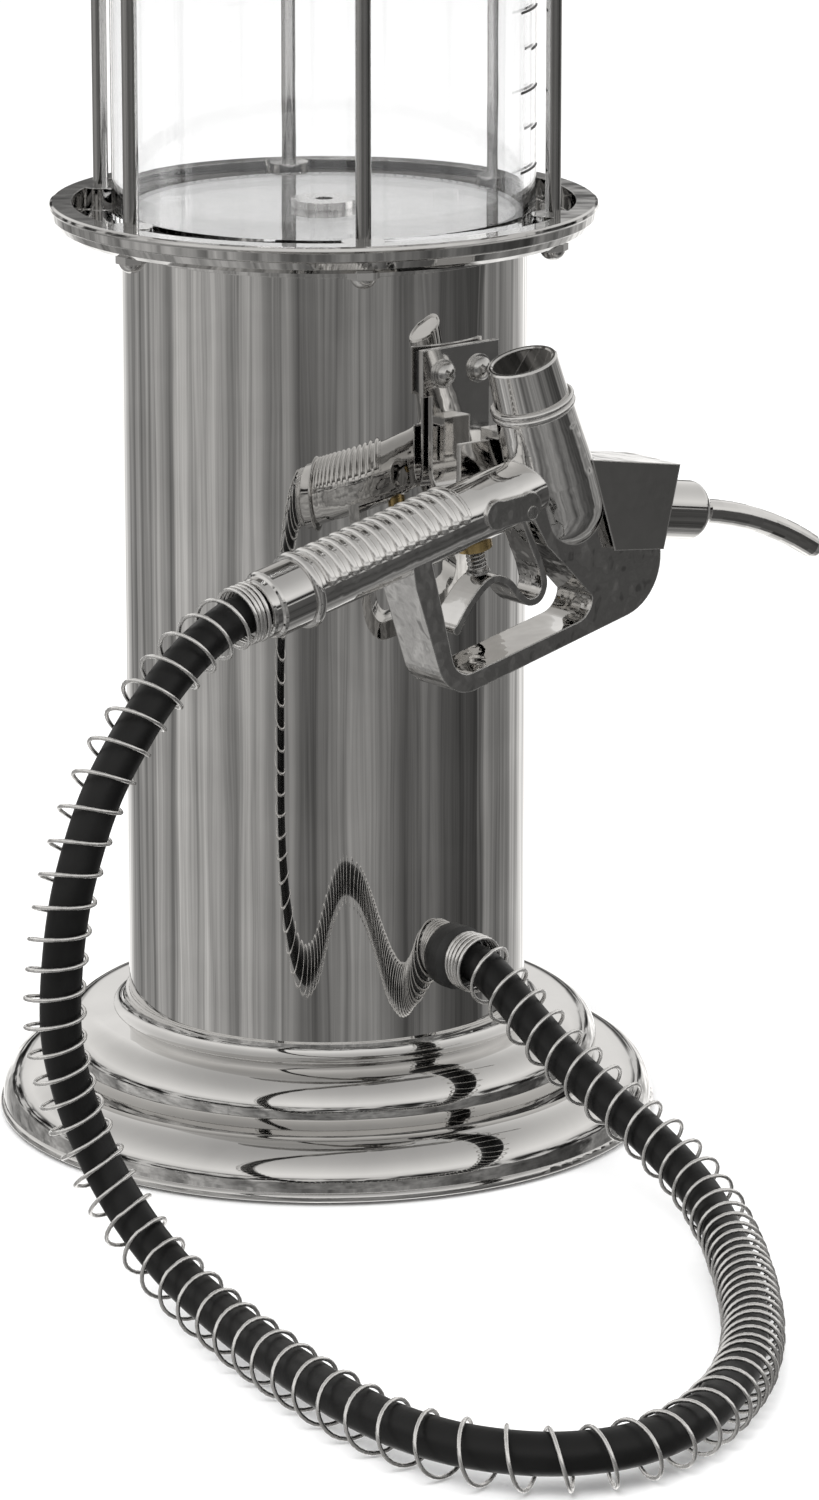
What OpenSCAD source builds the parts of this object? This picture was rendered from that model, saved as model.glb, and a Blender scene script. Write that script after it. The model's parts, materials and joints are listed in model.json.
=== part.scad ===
// Countertop drinks dispenser in the shape of a retro fuel pump, with a trigger gun on a hose.
// +Z is up, the gun bracket and the hose outlet face -Y, and the origin is under the middle of the base.

/* [Base] */
// Outer radius of the rolled rim of the base
base_r = 83; // [81:0.5:90]
// Height of the two stacked domes above the table
base_h = 27; // [26:0.5:30]

/* [Column] */
// Outer radius of the column tube
column_r = 50; // [49:0.5:51]
// Wall of the column tube
column_wall = 1.2; // [1:0.1:1.6]
// Top of the column tube above the table
column_top = 221.7; // [220:0.1:223]

/* [Tray] */
// Outer radius of the tray that carries the canister
tray_r = 67.4; // [67:0.1:69]
// Depth of the recess that the canister stands in
tray_recess = 5.5; // [4:0.5:5.5]

/* [Canister] */
// Outer radius of the clear canister
canister_r = 52; // [51:0.5:52.5]
// Wall of the canister
canister_wall = 3; // [2:0.5:4]
// Height of the canister tube
canister_h = 130; // [100:5:180]
// Rise between two graduation marks
mark_step = 9.7; // [8:0.1:20]

/* [Guard rods] */
// Radius of the circle that the six rods stand on
rod_circle_r = 59.3; // [58.5:0.1:60]
// Diameter of a rod
rod_d = 3.8; // [3:0.2:4.2]

/* [Gun] */
// Distance of the gun's middle plane from the column axis
gun_reach = 75; // [75:0.5:76]
// Height of the crossing of the grip axis and the neck, when the gun hangs
gun_z = 173; // [172:0.5:173.5]
// Rise of the grip axis towards the spout as the gun hangs
hang_angle = 12; // [11:0.5:13]
// Radius of the grip tube
grip_r = 7.75; // [7.5:0.05:8]
// Width of the trigger guard across the gun
guard_w = 13; // [12:0.5:13]
// Lean of the neck back towards the grip
neck_lean = 6; // [4:1:8]
// Drop of the spout axis below the grip axis
spout_drop = 22; // [20:1:24]
// Radius of the bend of the spout
spout_bend_r = 100; // [90:5:150]

/* [Hose] */
// Outer diameter of the hose
hose_d = 9.6; // [9:0.1:10]
// Outer diameter of the loose spring round the hose
guard_d = 14.6; // [14:0.1:16]

/* [Hidden] */
$fn = 96;

// Base
sheet = 1;
pad_h = 2;
cover_t = 1.2;
rim_bead_r = 1.2;
lower_dome_top = base_h - 12.8;
lower_dome_r = 10;
lower_dome_at = [base_r - 0.8 - lower_dome_r, lower_dome_top - lower_dome_r];
upper_dome_r = 9;
upper_dome_out = base_r - 14.7;
upper_dome_at = [upper_dome_out - upper_dome_r, base_h - upper_dome_r];
ballast_r = 60;
core_r = 50;
screw_circle_r = 30;
screw_r = 2;

// Column
foot_t = 3;
bore_r = column_r - column_wall;
collar_top = base_h + 4;
head_top = column_top + 3.3;
outlet_z = 50;
outlet_r = 6;
feed_bend = 30;
feed_in_r = 3.2;

// Tray
tray_t = 1.5;
tray_floor = head_top + tray_t;
tray_top = tray_floor + tray_recess;
tray_inner_r = tray_r - 5.6;
boss_r = 5.2;

// Canister and top
gasket_t = 1.1;
gasket_w = canister_wall + 2;
canister_z = tray_floor + gasket_t;
canister_top = canister_z + canister_h;
floor_t = 3;
canister_in = canister_r - canister_wall;
mark_first = 13.8;
mark_end = 45;
mark_t = 0.2;
ring_r = rod_circle_r + 6.2;
ring_hole_r = canister_in - 3;
ring_z = canister_top - 1;
ring_h = 6;
ring_top = ring_z + ring_h;
rod_angles = [-30, 30, 90, 150, 210, 270];
rod_bottom = head_top - 3.6;
rod_over = 4;

// Lid
lid_r = ring_hole_r + 6;
lid_rise = 15;
lid_t = 1.5;
lid_flange_t = 1.6;
dome_foot_r = lid_r - 3;
dome_r = (dome_foot_r * dome_foot_r + lid_rise * lid_rise) / (2 * lid_rise);
dome_foot_z = ring_top + lid_flange_t;
dome_top = dome_foot_z + lid_rise;

// Bracket
plate_w = 24;
plate_t = 1.5;
strip_w = 18;
bracket_back = column_r + 0.6;
bracket_front = bracket_back + plate_t;
bracket_top = gun_z + 30.5;
plate_h = 11.5;
hook_z = gun_z + 1;
hook_in_r = 4.5;
hook_out_r = hook_in_r + plate_t;
lip_back = bracket_front + 2 * hook_in_r;
lip_front = lip_back + plate_t;
lip_top = gun_z + 9;
bracket_screw_z = gun_z + 24.2;
bracket_screw_x = 5.6;
screw_small_r = 1.5;
washer_t = 0.5;

// Gun, in its own frame: x along the grip towards the spout, z towards the cap
gun_x = 3.5;
grip_end = -72.5;
neck_x = 5.5;
neck_r = 10.8;
neck_top_r = 9.6;
neck_top = 17.5;
cap_z = 20.6;
cap_h = 10;
liquid_r = 1.6;
liquid_z = 2.6;
spout_root = [8, -8.5];
nose_r = 6.6;
nose_len = 24.1;
hood_w = 17.6;
hood_t = 1.3;
hood_top = 12.3;
sleeve_r = 7.3;
sleeve_end = 46;
spout_r = 3;
spout_wall = 0.8;
spout_turn = 21;
pin_at = [-8.5, -3];
pin_r = 1.5;
running_gap = 0.05;
eye_r = 2.6;
trigger_w = 8.4;
trigger_t = 1.8;
slot_w = trigger_w + 0.8;
valve_x = -21;
valve_r = 3.5;
stem_r = 1.3;
guide_r = 4.4;
guide_top = -5.2;
guide_bottom = -8.9;
stem_foot = -15.6;
stem_foot_t = 1;
spring_wire_r = 0.3;
spring_mean_r = 2.1;
spring_turns = 5;
rib_count = 13;
rib_first = -28;
rib_step = -3.45;
rib_wire_r = 1.1;
rib_half_turn = 74;
saddle_t = 0.4;
collar_r = 8.2;
collar_end = -87;
ring_bead_r = 1.25;

// Middle line of the trigger strip, from the pivot eye round the finger hook and over the hump to the tail
trigger_line = [
    [-8.5, -3], [-7.6, -8], [-6.4, -13.5], [-5.2, -19], [-5.2, -23.6], [-7.4, -26.3], [-10.6, -26.1],
    [-13.2, -23.4], [-15.4, -19.6], [-18.2, -17.2], [-21.2, -16.8], [-25, -18.3], [-29.4, -21.4],
    [-33.2, -24.8]
];

// Hose route in the shared frame: hose middle, then the offset of the loose spring from it
collar_mouth = gun_point([collar_end - 0.4, 0]);
collar_lead = gun_point([collar_end - 8, 0]);
outlet_mouth = column_r + 3.8;
hose_route = [
    [collar_mouth, [0, 0, 0]],
    [collar_lead, [0, 0, 0]],
    [[-101, -76, 147.8], [-0.4, 0, 0.6]],
    [[-111, -76.5, 140], [-0.8, 0.2, 0.6]],
    [[-120, -77, 130.5], [-1, 0.4, 0.6]],
    [[-127.5, -77, 120], [-1.1, 0.5, 0.4]],
    [[-133, -77, 108.5], [-1.2, 0.6, 0.2]],
    [[-137.5, -77, 95], [-1.2, 0.6, 0]],
    [[-140, -77, 80], [-1.2, 0.6, 0]],
    [[-140.5, -77, 65], [-1.2, 0.6, 0]],
    [[-138.5, -78, 52], [-1.2, 0.5, 0]],
    [[-135.5, -80.5, 40], [-1, 0.3, -0.2]],
    [[-133, -86, 29], [-0.9, 0, -0.4]],
    [[-131.5, -95.5, 19.5], [-0.7, 0, -0.7]],
    [[-132, -109.5, 13], [-0.6, -0.2, -0.9]],
    [[-134.5, -127, 10], [-0.5, -0.4, -1]],
    [[-138.5, -147, 8.8], [-0.5, -0.5, -1]],
    [[-143, -168.5, 8.8], [-0.5, -0.5, -1]],
    [[-146, -188, 8.8], [-0.5, -0.5, -1]],
    [[-146.5, -207, 8.8], [-0.5, -0.5, -1]],
    [[-142.5, -224, 8.8], [-0.4, -0.6, -1]],
    [[-132.5, -238, 8.8], [-0.3, -0.7, -1]],
    [[-118, -245, 8.8], [-0.1, -0.8, -1]],
    [[-101.5, -244.5, 8.8], [0.4, -0.8, -1]],
    [[-84.5, -238, 8.8], [0.8, -0.6, -0.8]],
    [[-67.5, -227, 8.8], [1, -0.6, -0.6]],
    [[-50.5, -211.5, 8.8], [1.1, -0.6, -0.6]],
    [[-34, -192.5, 8.8], [1.1, -0.6, -0.6]],
    [[-19.5, -173.5, 8.8], [1.1, -0.6, -0.6]],
    [[-8.5, -156.5, 10.4], [1, -0.5, -0.4]],
    [[-2, -140, 15], [0.8, -0.3, 0]],
    [[0, -122.5, 21.6], [0.8, 0, 0.2]],
    [[0, -105, 28], [0.6, 0, 0.4]],
    [[0, -90, 34.2], [0.4, 0, 0.4]],
    [[0, -77, 41.2], [0.2, 0, 0.2]],
    [[0, -68, 46.5], [0, 0, 0]],
    [[0, -62, 49.3], [0, 0, 0]],
    [[0, -58, outlet_z], [0, 0, 0]],
    [[0, -outlet_mouth, outlet_z], [0, -0.3, 0]]
];
rings_per_leg = 1.5;
hose_sides = 10;

// A point of the gun's middle plane in the shared frame
function gun_point(p) = [
    gun_x + p.x * cos(hang_angle) - p.y * sin(hang_angle),
    -gun_reach,
    gun_z + p.x * sin(hang_angle) + p.y * cos(hang_angle)
];

function unit(v) = v / norm(v);

// Points of an arc about c, of radius r, from angle a to angle b
function arc(c, r, a, b, n = 12) = [
    for (i = [0:n]) let (t = a + (b - a) * i / n) [c.x + r * cos(t), c.y + r * sin(t)]
];

// A point of the smooth curve through the points p, at u legs from its start
function along(p, u) =
    let (
        last = len(p) - 1,
        i = min(floor(u), last - 1),
        t = u - i,
        a = p[max(i - 1, 0)],
        b = p[i],
        c = p[i + 1],
        d = p[min(i + 2, last)]
    )
    0.5 * (2 * b + (c - a) * t + (2 * a - 5 * b + 4 * c - d) * t * t + (3 * b - a - 3 * c + d) * t * t * t);

function smooth(p, step) = [for (u = [0:step:len(p) - 1 + 0.001]) along(p, min(u, len(p) - 1))];

function heading(p, i) = unit(p[min(i + 1, len(p) - 1)] - p[max(i - 1, 0)]);

// Side vectors carried along the path p without twist, starting across the first heading
function sides(p) = [
    for (
        i = 0, s = unit(cross(heading(p, 0), [0, 1, 0]));
        i < len(p);
        i = i + 1, s = i < len(p) ? let (h = heading(p, i)) unit(s - (s * h) * h) : s
    ) s
];

// Rings of n points about the path p; r is one radius, or a list with a radius for each point
function rings(p, r, n) =
    let (s = sides(p))
    [
        for (i = [0:len(p) - 1])
        let (h = heading(p, i), w = cross(h, s[i]), size = is_list(r) ? r[i] : r)
        for (k = [0:n - 1])
        p[i] + size * (cos(360 * k / n) * s[i] + sin(360 * k / n) * w)
    ];

// Both sides of a flat strip of thickness t along the line p
function strip(p, t) =
    let (across = [for (i = [0:len(p) - 1]) let (h = heading(p, i)) [-h.y, h.x] * t / 2])
    concat(
        [for (i = [0:len(p) - 1]) p[i] + across[i]],
        [for (i = [len(p) - 1:-1:0]) p[i] - across[i]]
    );

// Solid rod of radius r swept along the path p
module sweep(p, r, n) {
    last = (len(p) - 1) * n;
    polyhedron(
        points = rings(p, r, n),
        faces = concat(
            [[for (k = [0:n - 1]) k]],
            [[for (k = [n - 1:-1:0]) last + k]],
            [
                for (i = [0:len(p) - 2])
                for (k = [0:n - 1])
                let (a = i * n + k, b = i * n + (k + 1) % n)
                for (f = [[a, a + n, b + n], [a, b + n, b]]) f
            ]
        ),
        convexity = 10
    );
}

// Open sleeve between the radii r_in and r_out, swept along the path p
module sweep_sleeve(p, r_in, r_out, n) {
    m = len(p) * n;
    last = (len(p) - 1) * n;
    polyhedron(
        points = concat(rings(p, r_out, n), rings(p, r_in, n)),
        faces = concat(
            [
                for (i = [0:len(p) - 2])
                for (k = [0:n - 1])
                let (a = i * n + k, b = i * n + (k + 1) % n, c = m + a, d = m + b)
                for (f = [[a, a + n, b + n], [a, b + n, b], [c, d, d + n], [c, d + n, c + n]]) f
            ],
            [
                for (k = [0:n - 1])
                let (b = (k + 1) % n)
                for (f = [[k, b, m + b], [k, m + b, m + k]]) f
            ],
            [
                for (k = [0:n - 1])
                let (a = last + k, b = last + (k + 1) % n)
                for (f = [[a, m + b, b], [a, m + a, m + b]]) f
            ]
        ),
        convexity = 10
    );
}

// Frames of the gun
module in_gun() { translate(gun_point([0, 0])) rotate([0, -hang_angle, 0]) children(); }
module in_neck() { translate([neck_x, 0, 0]) rotate([0, -neck_lean, 0]) children(); }
module in_spout() { translate([spout_root.x, 0, spout_root.y]) rotate([0, spout_drop, 0]) children(); }
module along_x() { rotate([0, 90, 0]) children(); }
module along_front() { rotate([90, 0, 0]) children(); }
// A drawing in x and z, made w thick across the gun
module across(w) { rotate([90, 0, 0]) linear_extrude(w, center = true) children(); }
module at_rods() { for (a = rod_angles) rotate([0, 0, a]) translate([0, -rod_circle_r, 0]) children(); }
module three_times(r) { for (a = [0, 120, 240]) rotate([0, 0, a]) translate([r, 0, 0]) children(); }

// ---------- base ----------

module base_pad() color("dimgray")
    cylinder(r = base_r - 8, h = pad_h);

module base_cover() color("gray")
    translate([0, 0, pad_h]) cylinder(r = base_r - 3.4, h = cover_t);

module base_lower_dome() color("silver")
    rotate_extrude() {
        translate([base_r - rim_bead_r, pad_h]) circle(r = rim_bead_r, $fn = 32);
        translate([base_r - 0.8 - sheet, pad_h]) square([sheet, lower_dome_at.y - pad_h]);
        intersection() {
            translate(lower_dome_at)
                difference() {
                    circle(r = lower_dome_r);
                    circle(r = lower_dome_r - sheet);
                }
            translate(lower_dome_at) square(lower_dome_r + 1);
        }
        translate([core_r + 2, lower_dome_top - sheet])
            square([lower_dome_at.x - core_r - 2, sheet]);
    }

module base_upper_dome() color("silver")
    difference() {
        rotate_extrude() {
            intersection() {
                translate(upper_dome_at)
                    difference() {
                        circle(r = upper_dome_r);
                        circle(r = upper_dome_r - sheet);
                    }
                translate([upper_dome_at.x, lower_dome_top]) square(2 * upper_dome_r);
            }
            translate([screw_circle_r - 12, base_h - sheet])
                square([upper_dome_at.x - screw_circle_r + 12, sheet]);
        }
        three_times(screw_circle_r) cylinder(r = screw_r, h = base_h + 1);
    }

module base_ballast() color("dimgray")
    difference() {
        translate([0, 0, pad_h + cover_t])
            cylinder(r = ballast_r, h = lower_dome_top - sheet - pad_h - cover_t);
        three_times(screw_circle_r) {
            cylinder(r = screw_r, h = base_h);
            cylinder(r = 4.4, h = pad_h + cover_t + 4);
        }
    }

module base_core() color("dimgray")
    difference() {
        translate([0, 0, lower_dome_top - sheet])
            cylinder(r = core_r, h = base_h - lower_dome_top);
        three_times(screw_circle_r) cylinder(r = screw_r, h = base_h + 1);
    }

module base_screws() color("lightgray")
    three_times(screw_circle_r) {
        translate([0, 0, pad_h + cover_t + 1])
            difference() {
                cylinder(r = 3.6, h = 3);
                translate([0, 0, -0.1]) cylinder(r = 1.8, h = 1.6, $fn = 6);
            }
        translate([0, 0, pad_h + cover_t + 4])
            cylinder(r = screw_r, h = base_h + foot_t - pad_h - cover_t - 4.5);
    }

// ---------- column ----------

module column_foot() color("gray")
    difference() {
        translate([0, 0, base_h]) cylinder(r = bore_r, h = foot_t);
        three_times(screw_circle_r) cylinder(r = screw_r, h = base_h + foot_t + 1);
        translate([0, 0, base_h - 1]) cylinder(r = 14, h = foot_t + 2);
    }

module column_collar() color("silver")
    rotate_extrude() {
        translate([column_r, base_h]) square([0.9, collar_top - base_h]);
        difference() {
            translate([column_r, base_h]) square([4, 3.2]);
            translate([column_r + 4, base_h + 3.2]) circle(r = 3.1);
        }
    }

module column_tube() color("silver")
    difference() {
        translate([0, 0, base_h]) cylinder(r = column_r, h = column_top - base_h);
        translate([0, 0, base_h - 1]) cylinder(r = bore_r, h = column_top - base_h + 2);
        translate([0, 0, outlet_z]) along_front() cylinder(r = outlet_r, h = column_r + 5);
        for (x = [-bracket_screw_x, bracket_screw_x])
            translate([x, 0, bracket_screw_z]) along_front() cylinder(r = screw_small_r, h = column_r + 5);
    }

module column_head() color("silver")
    difference() {
        union() {
            translate([0, 0, column_top]) cylinder(r = column_r + 1, h = head_top - column_top);
            translate([0, 0, column_top - 7]) cylinder(r = bore_r, h = 7.5);
        }
        translate([0, 0, column_top - 8]) cylinder(r = 32, h = 6.5);
        translate([0, 0, column_top - 8]) cylinder(r = 12, h = 14);
        three_times(40) translate([0, 0, column_top - 8]) cylinder(r = screw_r, h = 14);
    }

// ---------- tray ----------

module tray() color("silver")
    difference() {
        union() {
            rotate_extrude()
                difference() {
                    polygon([
                        [0, head_top], [tray_r - 4.2, head_top], [tray_r - 2.4, head_top + 1.2],
                        [tray_r - 1.4, head_top + 3], [tray_r - 0.8, head_top + 3.3],
                        [tray_r - 0.5, tray_top - 1.6], [tray_r, tray_top - 1.1],
                        [tray_r - 0.2, tray_top - 0.3], [tray_r - 0.8, tray_top], [0, tray_top]
                    ]);
                    translate([-1, tray_floor]) square([tray_inner_r + 1, tray_recess + 1]);
                }
            at_rods() translate([0, 0, tray_floor - 0.5]) cylinder(r = boss_r, h = tray_recess + 0.5);
        }
        at_rods() translate([0, 0, head_top - 1]) cylinder(r = rod_d / 2, h = tray_recess + 5);
        translate([0, 0, head_top - 1]) cylinder(r = 5, h = tray_t + 2);
        three_times(40) translate([0, 0, head_top - 1]) cylinder(r = screw_r, h = tray_t + 2);
    }

module tray_screws() color("lightgray")
    three_times(40) {
        translate([0, 0, column_top - 4]) cylinder(r = screw_r, h = tray_floor - column_top + 4);
        translate([0, 0, tray_floor])
            difference() {
                cylinder(r = 3.8, h = 0.9);
                translate([0, 0, 0.4]) cube([5, 0.9, 1.2], center = true);
            }
    }

module tray_gasket() color("dimgray")
    difference() {
        translate([0, 0, tray_floor]) cylinder(r = canister_r, h = gasket_t);
        translate([0, 0, tray_floor - 1]) cylinder(r = canister_r - gasket_w, h = gasket_t + 2);
    }

// ---------- rods ----------

module rod(a) color("dimgray")
    rotate([0, 0, a]) translate([0, -rod_circle_r, rod_bottom])
        cylinder(r = rod_d / 2, h = ring_top + rod_over - rod_bottom);

module rod_1() rod(rod_angles[0]);
module rod_2() rod(rod_angles[1]);
module rod_3() rod(rod_angles[2]);
module rod_4() rod(rod_angles[3]);
module rod_5() rod(rod_angles[4]);
module rod_6() rod(rod_angles[5]);

// A cap nut with its seat at z = 0 and its dome above
module cap_nut(depth)
    difference() {
        union() {
            cylinder(r = 3.9, h = 2, $fn = 6);
            intersection() {
                translate([0, 0, 1.2]) sphere(r = 3.3, $fn = 48);
                translate([0, 0, 1]) cylinder(r = 3.28, h = 4.5);
            }
        }
        translate([0, 0, -1]) cylinder(r = rod_d / 2, h = depth + 1);
    }

module rod_nuts_lower() color("silver")
    at_rods() translate([0, 0, head_top]) mirror([0, 0, 1]) cap_nut(3.6);

module rod_nuts_upper() color("silver")
    at_rods() translate([0, 0, ring_top]) difference() {
        union() {
            cylinder(r = 3.9, h = 3, $fn = 6);
            intersection() {
                translate([0, 0, 2.4]) sphere(r = 3.3, $fn = 48);
                translate([0, 0, 2]) cylinder(r = 3.28, h = 5);
            }
        }
        translate([0, 0, -1]) cylinder(r = rod_d / 2, h = rod_over + 1);
    }

// ---------- canister ----------

module canister_tube() color("lightblue", 0.4)
    difference() {
        translate([0, 0, canister_z]) cylinder(r = canister_r, h = canister_h);
        translate([0, 0, canister_z - 1]) cylinder(r = canister_in, h = canister_h + 2);
    }

module canister_floor() color("lightblue", 0.4)
    difference() {
        translate([0, 0, canister_z]) cylinder(r = canister_in, h = floor_t);
        translate([0, 0, canister_z - 1]) cylinder(r = 5, h = floor_t + 2);
    }

module canister_marks() color("black")
    for (i = [0:floor((canister_h - mark_first - 12) / mark_step)])
        let (span = i % 2 == 0 ? 18 : 9)
        translate([0, 0, canister_z + mark_first + i * mark_step])
            rotate([0, 0, mark_end - 90 - span])
                rotate_extrude(angle = span) translate([canister_r, 0]) square([mark_t, 0.6]);

module top_gasket() color("dimgray")
    difference() {
        translate([0, 0, canister_top]) cylinder(r = canister_r, h = gasket_t);
        translate([0, 0, canister_top - 1]) cylinder(r = canister_in, h = gasket_t + 2);
    }

module top_ring() color("silver")
    difference() {
        rotate_extrude()
            difference() {
                polygon([
                    [ring_hole_r, ring_z], [ring_r - 2.2, ring_z], [ring_r - 0.6, ring_z + 1],
                    [ring_r, ring_z + 2.4], [ring_r, ring_top - 1.4], [ring_r - 0.4, ring_top - 0.4],
                    [ring_r - 1.4, ring_top], [ring_hole_r, ring_top]
                ]);
                translate([canister_in, ring_z - 1]) square([canister_wall + 0.15, 2 + gasket_t]);
            }
        at_rods() translate([0, 0, ring_z - 1]) cylinder(r = rod_d / 2, h = ring_h + 2);
    }

// ---------- lid ----------

module lid() color("silver")
    difference() {
        rotate_extrude() {
            intersection() {
                translate([0, dome_top - dome_r])
                    difference() {
                        circle(r = dome_r, $fn = 180);
                        circle(r = dome_r - lid_t, $fn = 180);
                    }
                translate([0, dome_foot_z - 0.4]) square([dome_foot_r + 5, lid_rise + 5]);
            }
            translate([dome_foot_r - 2.6, ring_top + 0.3])
                square([lid_r - dome_foot_r + 2.6, lid_flange_t]);
            translate([ring_hole_r - 3.4, ring_top - 4.6]) square([1.4, 5.6]);
            translate([ring_hole_r - 3.4, ring_top + 0.3])
                square([dome_foot_r - ring_hole_r + 2, lid_flange_t]);
        }
        cylinder(r = screw_r, h = dome_top + 1);
    }

module lid_seal() color("dimgray")
    translate([0, 0, ring_top - 3.4])
        difference() {
            cylinder(r = ring_hole_r - 0.3, h = 2.4);
            translate([0, 0, -1]) cylinder(r = ring_hole_r - 2, h = 5);
        }

module lid_knob() color("silver")
    translate([0, 0, dome_top])
        difference() {
            rotate_extrude()
                difference() {
                    union() {
                        translate([0, 14]) circle(r = 8.5);
                        translate([0, -0.5]) square([4.2, 8]);
                        translate([0, -0.5]) square([7.5, 2.5]);
                    }
                    translate([-20, -20]) square([20, 60]);
                    translate([0, -dome_r]) circle(r = dome_r, $fn = 180);
                }
            translate([0, 0, -2]) cylinder(r = screw_r, h = 12);
        }

module lid_screw() color("lightgray")
    translate([0, 0, dome_top - lid_t - 0.1]) {
        translate([0, 0, -0.5]) cylinder(r = screw_r, h = 11.6);
        translate([0, 0, -2.3])
            difference() {
                cylinder(r = 3.8, h = 2.3);
                translate([0, 0, 0.4]) cube([9, 1, 1.6], center = true);
            }
    }

// ---------- liquid path inside ----------

module outlet_fitting() color("silver")
    difference() {
        union() {
            translate([0, 0, canister_z + floor_t]) cylinder(r = 8, h = 1.8);
            translate([0, 0, head_top - 12]) cylinder(r = 5, h = canister_z + floor_t - head_top + 12);
            translate([0, 0, head_top - 24]) cylinder(r = 3.2, h = 12.5);
        }
        translate([0, 0, head_top - 25]) cylinder(r = 2.2, h = 60);
    }

module outlet_nut() color("silver")
    difference() {
        translate([0, 0, head_top - 5]) cylinder(r = 9, h = 5, $fn = 6);
        translate([0, 0, head_top - 6]) cylinder(r = 5, h = 8);
    }

module hose_wall()
    difference() {
        circle(r = hose_d / 2);
        circle(r = feed_in_r);
    }

module feed_hose() color("dimgray") {
    translate([0, 0, outlet_z + feed_bend])
        linear_extrude(head_top - 12 - outlet_z - feed_bend) hose_wall();
    translate([0, -feed_bend, outlet_z]) along_front()
        linear_extrude(outlet_mouth - feed_bend) hose_wall();
    translate([0, -feed_bend, outlet_z + feed_bend])
        rotate([90, 0, 90]) rotate([0, 0, -90])
            rotate_extrude(angle = 90) translate([feed_bend, 0]) hose_wall();
}

module feed_clamp() color("lightgray")
    translate([0, 0, head_top - 20])
        difference() {
            union() {
                cylinder(r = hose_d / 2 + 0.8, h = 6);
                translate([0, -2.5, 0]) cube([hose_d / 2 + 6, 5, 6]);
            }
            translate([0, 0, -1]) cylinder(r = hose_d / 2, h = 8);
            translate([0, -0.6, -1]) cube([hose_d / 2 + 8, 1.2, 8]);
        }

module hose_grommet() color("black")
    translate([0, 0, outlet_z])
        difference() {
            union() {
                difference() {
                    along_front() union() {
                        translate([0, 0, 48]) cylinder(r = 8, h = column_r + 2.2 - 48);
                        translate([0, 0, column_r + 2.2])
                            cylinder(r1 = 8, r2 = 6.2, h = outlet_mouth - column_r - 2.2);
                    }
                    cylinder(r = column_r, h = 40, center = true);
                }
                along_front() translate([0, 0, bore_r - 3]) cylinder(r = outlet_r, h = 5);
                intersection() {
                    along_front() translate([0, 0, bore_r - 3.2]) cylinder(r = 8, h = 5);
                    cylinder(r = bore_r, h = 40, center = true);
                }
            }
            along_front() translate([0, 0, 30]) cylinder(r = hose_d / 2, h = 40);
        }

// ---------- bracket ----------

module bracket_pad() color("dimgray")
    difference() {
        translate([-plate_w / 2 + 1, -bracket_back, bracket_top - plate_h + 0.8])
            cube([plate_w - 2, 4, plate_h - 1.6]);
        translate([0, 0, bracket_top - 20]) cylinder(r = column_r, h = 40, $fn = 720);
        for (x = [-bracket_screw_x, bracket_screw_x])
            translate([x, 0, bracket_screw_z]) along_front() cylinder(r = screw_small_r, h = column_r + 5);
    }

module bracket() color("silver")
    difference() {
        union() {
            translate([-plate_w / 2, -bracket_front, bracket_top - plate_h])
                cube([plate_w, plate_t, plate_h]);
            translate([-strip_w / 2, -bracket_front, hook_z])
                cube([strip_w, plate_t, bracket_top - plate_h - hook_z + 1]);
            translate([-strip_w / 2, -lip_front, hook_z]) cube([strip_w, plate_t, lip_top - hook_z]);
            translate([-strip_w / 2, -bracket_front - hook_in_r, hook_z])
                difference() {
                    along_x() cylinder(r = hook_out_r, h = strip_w);
                    translate([-1, 0, 0]) along_x() cylinder(r = hook_in_r, h = strip_w + 2);
                    translate([-1, -20, 0]) cube([strip_w + 2, 40, 20]);
                }
        }
        for (x = [-bracket_screw_x, bracket_screw_x])
            translate([x, 0, bracket_screw_z]) along_front() cylinder(r = screw_small_r, h = column_r + 5);
    }

module bracket_nut_plate() color("gray")
    difference() {
        intersection() {
            translate([-10, -bore_r - 1, bracket_screw_z - 4]) cube([20, 4.4, 8]);
            translate([0, 0, bracket_screw_z - 10]) cylinder(r = bore_r, h = 20);
        }
        for (x = [-bracket_screw_x, bracket_screw_x])
            translate([x, 0, bracket_screw_z]) along_front() cylinder(r = screw_small_r, h = column_r + 5);
    }

module bracket_screws() color("silver")
    for (x = [-bracket_screw_x, bracket_screw_x])
        translate([x, 0, bracket_screw_z]) along_front() {
            translate([0, 0, bore_r - 3.6]) cylinder(r = screw_small_r, h = bracket_front - bore_r + 3.7);
            translate([0, 0, bracket_front])
                difference() {
                    union() {
                        cylinder(r = 3.5, h = washer_t);
                        intersection() {
                            translate([0, 0, -0.6]) sphere(r = 3.5, $fn = 48);
                            translate([0, 0, washer_t - 0.1]) cylinder(r = 2.8, h = 4);
                        }
                    }
                    for (a = [45, 135])
                        rotate([0, 0, a]) translate([0, 0, 2.8]) cube([3.2, 0.7, 2.2], center = true);
                }
        }

// ---------- gun ----------

// Outline of the cast guard, from the grip round the outside and back to the neck
guard_outside = concat(
    [[-44.5, 0], [-45, -9]],
    arc([-32.6, -30.2], 9.8, 182, 268),
    arc([16.4, -25.6], 13.8, 272, 358),
    [[24, -14], [8, 2]]
);
// Outline of the finger opening
guard_inside = concat(
    arc([-32.6, -30.2], 5.3, 180, 270),
    arc([1.2, -29.4], 6, 270, 345),
    [[0.5, -20.6], [-4.2, -13.6], [-7, -5], [-39, -5]]
);

module neck_shape()
    rotate_extrude()
        intersection() {
            union() {
                translate([0, -8]) circle(r = neck_r);
                polygon([[0, -8], [neck_r, -8], [neck_r, 0], [neck_top_r, neck_top], [0, neck_top]]);
            }
            translate([0, -30]) square([20, 30 + neck_top]);
        }

module gun_boss() {
    across(17) translate([-18.6, 0]) circle(r = 3.6);
    across(17) translate([-9, -1.4]) circle(r = 3.6);
    across(17) polygon([[-18.9, 3.3], [-18.1, -3.3], [-9.1, -4.7], [-8.7, 1.9]]);
}

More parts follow.
